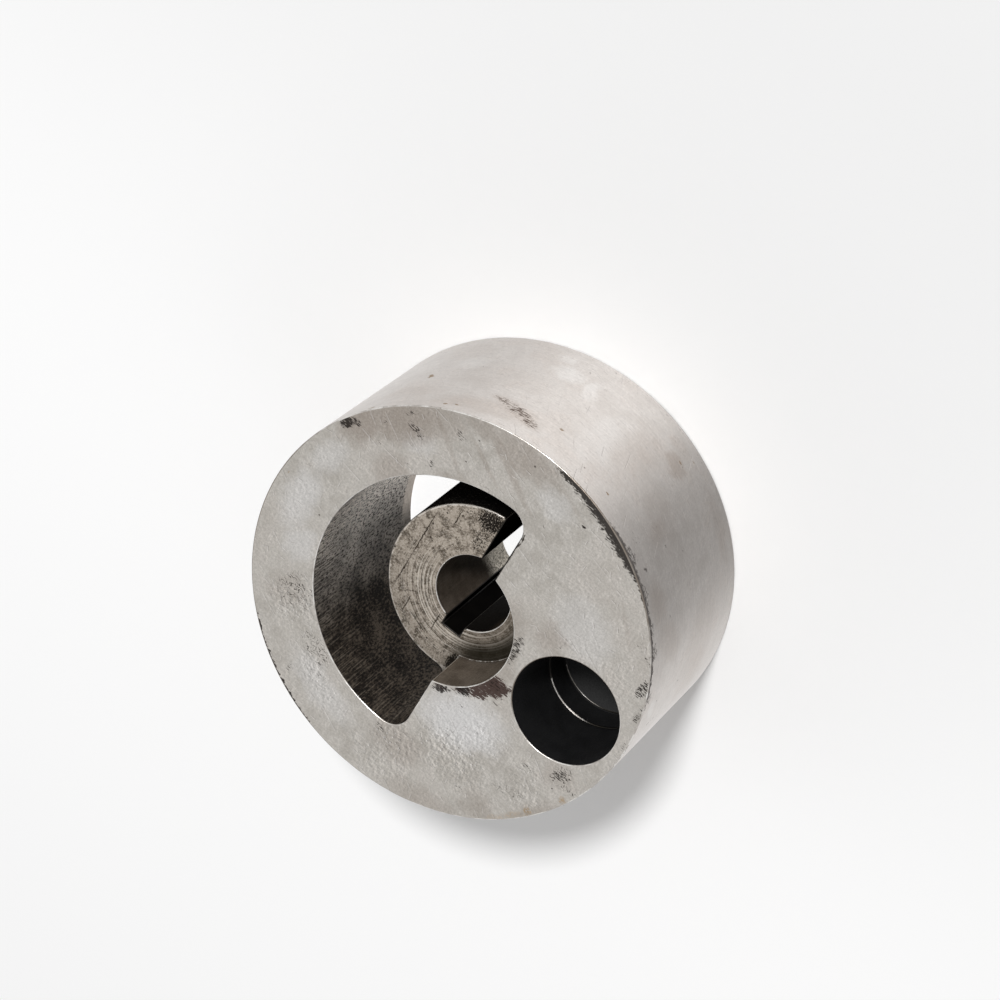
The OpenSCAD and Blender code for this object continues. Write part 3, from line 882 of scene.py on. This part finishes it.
def edgeSteel():
    values = edgeValues
    shader, where = newFinish("brokenEdge", roughness=0.32)
    x, y, z = parts(where)
    fromAxis = lengthOf(x, y)
    turn = calc("ARCTAN2", y, x)
    wear = noise(where, 0.16, 3.0, 0.65)
    nicks = noise(where, 0.9, 3.0, 0.7)
    colour = mixColour(ramp(wear, 0.4, 0.6), values["dull"], values["bright"])
    # The flat's open edge has a ragged black line on the slot's side
    flatEdge = product([
        ramp(x, 7.3, 7.5), ramp(x, 8.7, 8.5), ramp(z, 75.0, 75.3), ramp(y, 24.0, 27.0),
        ramp(y, 49.5, 48.5), ramp(nicks, 0.36, 0.46, 0.4, 1.0)])
    # Dirt lies on the rim's far side and on the pin hole's upper rim; along the rim on the window's side the darkening
    # is painted shade
    farRim = mul(sweep(turn, 20, 44), sweep(turn, 80, 88, 1.0, 0.0))
    rimDirtAndShade = add(sweep(turn, -60, -110), add(sweep(turn, 150, 168), farRim), clamp=True)
    onRim = ramp(fromAxis, 78.0, 79.0)
    pinX = sub(x, landmarks["pin"])
    onPin = fall(lengthOf(pinX, y), 22.2, 22.8)
    pinDirt = product([onPin, ramp(mulAdd(wear, 20.0, sub(y, pinX)), 4.0, 18.0), ramp(z, 75.0, 75.4)])
    # In the pin hole, the shoulder shines along one stretch and the floor's corner faintly
    pinTurn = calc("ARCTAN2", y, pinX)
    shoulder = product([sweep(pinTurn, -162, -148), sweep(pinTurn, -98, -72, 1.0, 0.0),
                        ramp(z, 38.0, 40.0, 0.3, 0.85), ramp(nicks, 0.38, 0.5, 0.6, 1.0)])
    # Below the rim the pin hole's edges get painted shade, except along the shining shoulder
    wearAndShade = product([onPin, ramp(z, 75.0, 74.6), sub(1.0, shoulder)])
    # Inside the hub and the slot the edges get painted shade
    slotless = mul(fall(z, 54.3, 54.6), fall(calc("ABSOLUTE", x), 4.8, 5.2))
    inside = mul(fall(fromAxis, 42.0, 43.0), larger(fall(z, 53.0, 53.4), slotless))
    # The corner at the recess's floor only shines in places
    corner = product([ramp(z, 54.9, 54.6), ramp(z, 53.9, 53.98), ramp(fromAxis, 25.6, 26.2),
                      ramp(fromAxis, 28.2, 27.6), ramp(nicks, 0.56, 0.46, 0.55, 1.0)])
    colour = layers(
        colour, values, (ramp(nicks, 0.6, 0.7), "dirtAndShade", 0.7), (mul(onRim, rimDirtAndShade, clamp=True), "dirtAndShade", 0.8),
        (pinDirt, "dirtAndShade", 0.8), (strongest([inside, wearAndShade, flatEdge]), "dark", 0.97), (corner, "corner", 0.95))
    dress(shader, nicks, colour, strength=0.4)
    feed(shader, {"Roughness": ramp(wear, 0.3, 0.7, 0.42, 0.26), "Metallic": mulAdd(inside, -0.9, 1.0),
                  "Specular IOR Level": 0.1})


edgeSteel()
print("finishes ready:", ", ".join(sorted(finishes)))


body = settle(growTree(couplingTree(finishes), "couplingBody", couplingSizes))
bevel = body.modifiers.new("edges", "BEVEL")
for name, value in edgeBreak.items():
    setattr(bevel, name, value)
bevel.material = body.data.materials.find("brokenEdge")
settle(body)

# Level faces are flat, and the walls are smooth up to the broken edges
mesh = body.data
broken = mesh.materials.find("brokenEdge")
sides = {}
for face in mesh.polygons:
    face.use_smooth = abs(face.normal.z) < 0.999
    for key in face.edge_keys:
        sides.setdefault(key, []).append(face.material_index == broken)
for edge in mesh.edges:
    edge.use_edge_sharp = len(set(sides[edge.key])) > 1
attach(body, "root")
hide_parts("coupling_body")
print("body grown:", len(body.data.polygons), "faces")


# Floor, lamp and camera

# Shades of the paper, and in millimetres where it changes: along Y, and by distance from the part's axis
floorValues = {"size": 6.0, "height": -0.0002, "farShade": 0.775, "nearShade": 0.925, "besideShade": 0.965,
               "underGlow": 0.88, "nearToFar": (-120.0, 260.0), "beside": (90.0, 210.0), "besideFrom": (-50.0, 20.0),
               "under": (70.0, 74.0)}
half, height = floorValues["size"] / 2, floorValues["height"]
floorMesh = bpy.data.meshes.new("floor")
floorMesh.from_pydata([(-half, -half, height), (half, -half, height), (half, half, height), (-half, half, height)],
                      [], [(0, 1, 2, 3)])
floor = newObject("floor", floorMesh)
paper = bpy.data.materials.new("paper")
freshTree(paper)
spot = parts(place())
fromAxis = lengthOf(spot[0], spot[1])
# The paper is painted a little paler on the near side and darker on the far side to even out the lamp's light, and
# under the part it glows plain white to the eye, painted light over the part's shadow
shade = ramp(spot[1], *floorValues["nearToFar"], floorValues["nearShade"], floorValues["farShade"])
# Beside the part on the far side the paper is painted a little darker, as shade against the light that the round
# throws onto it
paintedShadeBeside = mul(fall(fromAxis, *floorValues["beside"]), ramp(spot[1], *floorValues["besideFrom"]))
shade = mulAdd(paintedShadeBeside, floorValues["besideShade"] - 1.0, shade)
glow = ramp(fromAxis, *floorValues["under"], floorValues["underGlow"], 0.0)
seen = addNode("ShaderNodeLightPath").outputs["Is Camera Ray"]
shine = made("ShaderNodeEmission", {"Color": (1, 1, 1, 1), "Strength": mul(glow, seen)})
dull = made("ShaderNodeBsdfDiffuse", {"Color": made("ShaderNodeCombineColor", {0: shade, 1: shade, 2: shade})})
both = made("ShaderNodeAddShader", {0: shine, 1: dull})
# From below, the eye looks through the paper at the part's back
fromBelow = mul(addNode("ShaderNodeNewGeometry").outputs["Backfacing"], seen)
chosen = made("ShaderNodeMixShader", {0: fromBelow, 1: both, 2: made("ShaderNodeBsdfTransparent")})
addNode("ShaderNodeOutputMaterial", {"Surface": chosen})
floor.data.materials.append(paper)
floor.visible_glossy = False

# The room: an even pale light, with a dark card and some brighter cards low down that the round reflects
roomValues = {
    "level": 0.93,
    "soft": 0.5,
    "cards": [
        {"azimuth": 22, "elevation": -52, "inner": 4, "outer": 36, "light": -0.54},
        {"azimuth": 110, "elevation": -55, "inner": 3, "outer": 32, "light": 0.46},
        {"azimuth": 268, "elevation": -55, "inner": 5, "outer": 38, "light": 0.16},
    ],
}
world = bpy.data.worlds.new("room")
bpy.context.scene.world = world
freshTree(world)


def aim(azimuth, elevation):
    a, e = math.radians(azimuth), math.radians(elevation)
    return Vector((math.cos(a) * math.cos(e), math.sin(a) * math.cos(e), math.sin(e)))


look = vectorCalc("NORMALIZE", addNode("ShaderNodeTexCoord").outputs["Generated"])
level = roomValues["level"]
for card in roomValues["cards"]:
    near = vectorCalc("DOT_PRODUCT", look, tuple(aim(card["azimuth"], card["elevation"])))
    edge, middle = (math.cos(math.radians(card[key])) for key in ("outer", "inner"))
    level = add(level, ramp(near, edge, middle, 0.0, card["light"]))
path = addNode("ShaderNodeLightPath").outputs
# The floor and the dull parts get a soft light, the steel reflects the room, and the eye sees white
soft = made("ShaderNodeMix", {0: path["Is Glossy Ray"], 2: roomValues["soft"], 3: level}, data_type="FLOAT")
strength = made("ShaderNodeMix", {0: path["Is Camera Ray"], 2: soft, 3: 1.0}, data_type="FLOAT")
back = made("ShaderNodeBackground", {"Color": (1, 1, 1, 1), "Strength": strength})
addNode("ShaderNodeOutputWorld", {"Surface": back})

lampValues = {"azimuth": 99, "elevation": 52, "distance": 4.0, "size": 0.68, "power": 116.0, "target": (0, 0, 0.03)}
lampData = bpy.data.lights.new("key", "AREA")
lampData.shape = "DISK"
lampData.size = lampValues["size"]
lampData.energy = lampValues["power"]
lamp = newObject("key", lampData)
away = aim(lampValues["azimuth"], lampValues["elevation"])
lamp.location = Vector(lampValues["target"]) + away * lampValues["distance"]
lamp.rotation_mode = "QUATERNION"
lamp.rotation_quaternion = away.to_track_quat("Z", "Y")

cameraValues = {
    "place": (0.15995, 0.61949, 0.92861),
    "right": (0.780479689, 0.440515297, -0.4436189),
    "up": (-0.604462207, 0.71288021, -0.355566092),
    "back": (0.159614832, 0.545662977, 0.822663373),
    "lens": 107.64,
    "sensor": 36,
    "clip": (0.05, 20),
}
cameraData = bpy.data.cameras.new("camera")
cameraData.sensor_width = cameraValues["sensor"]
cameraData.lens = cameraValues["lens"]
cameraData.clip_start, cameraData.clip_end = cameraValues["clip"]
camera = newObject("camera", cameraData)
turnMatrix = Matrix((cameraValues["right"], cameraValues["up"], cameraValues["back"])).transposed()
camera.matrix_world = Matrix.Translation(cameraValues["place"]) @ turnMatrix.to_4x4()
bpy.context.scene.camera = camera
bpy.context.scene.view_settings.view_transform = "Standard"
print("stage, lamp and camera placed")
